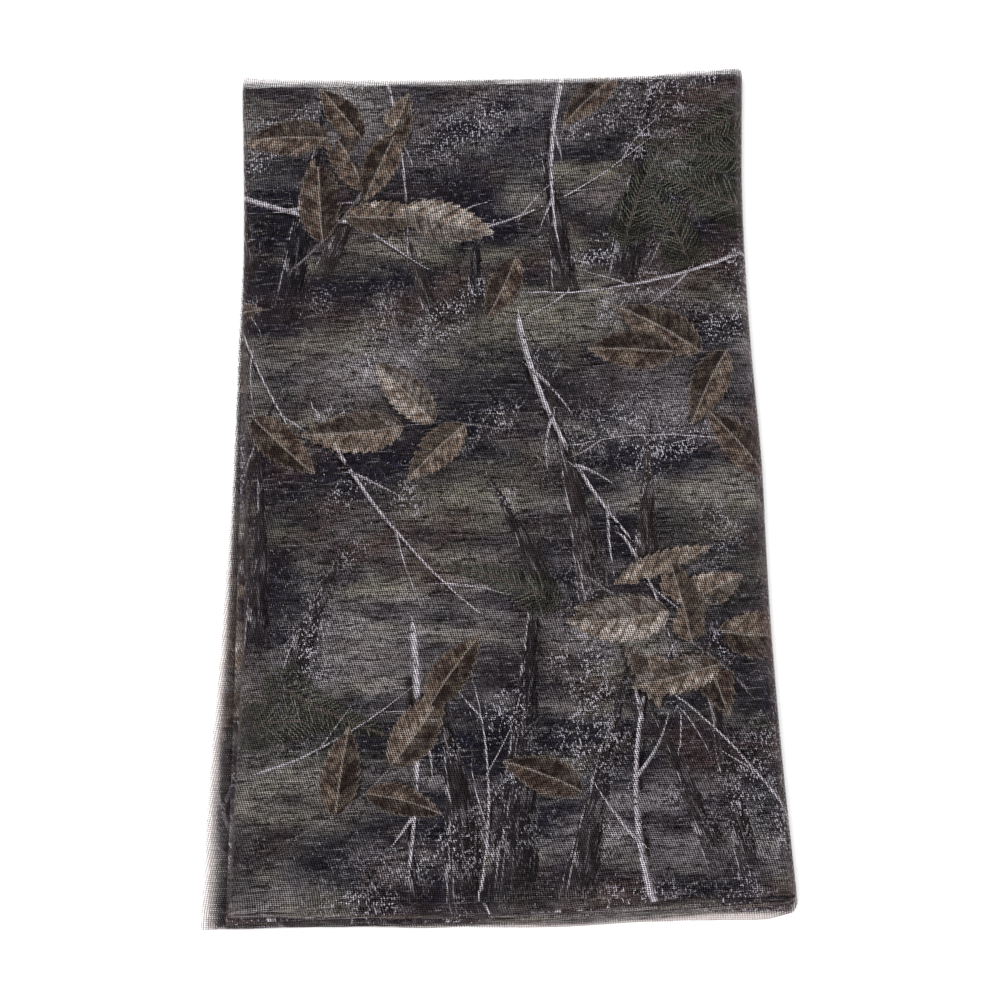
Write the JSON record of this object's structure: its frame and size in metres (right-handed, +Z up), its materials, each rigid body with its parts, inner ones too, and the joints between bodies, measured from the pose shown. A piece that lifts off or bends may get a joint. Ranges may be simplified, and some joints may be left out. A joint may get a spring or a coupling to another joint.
{
  "type": "folded camouflage net",
  "caption": "Rectangular length of fine mesh netting with an outdoor print, folded flat into a layered pack; unfolded, it screens a hide, blind or vehicle.",
  "frame": {"origin": "middle of the folded pack in plan, at its underside", "axes": "+Z up from the surface that the pack lies on, +Y along the pack away from the fold across the cloth's width and towards its selvages, +X across the pack towards the last fold"},
  "size_m": [0.4845, 0.7645, 0.0134],
  "materials": {
    "printed_net": "matte printed polyester mesh"
  },
  "bodies": {
    "root": {"net_sheet": "printed_net"}
  },
  "joints": []
}
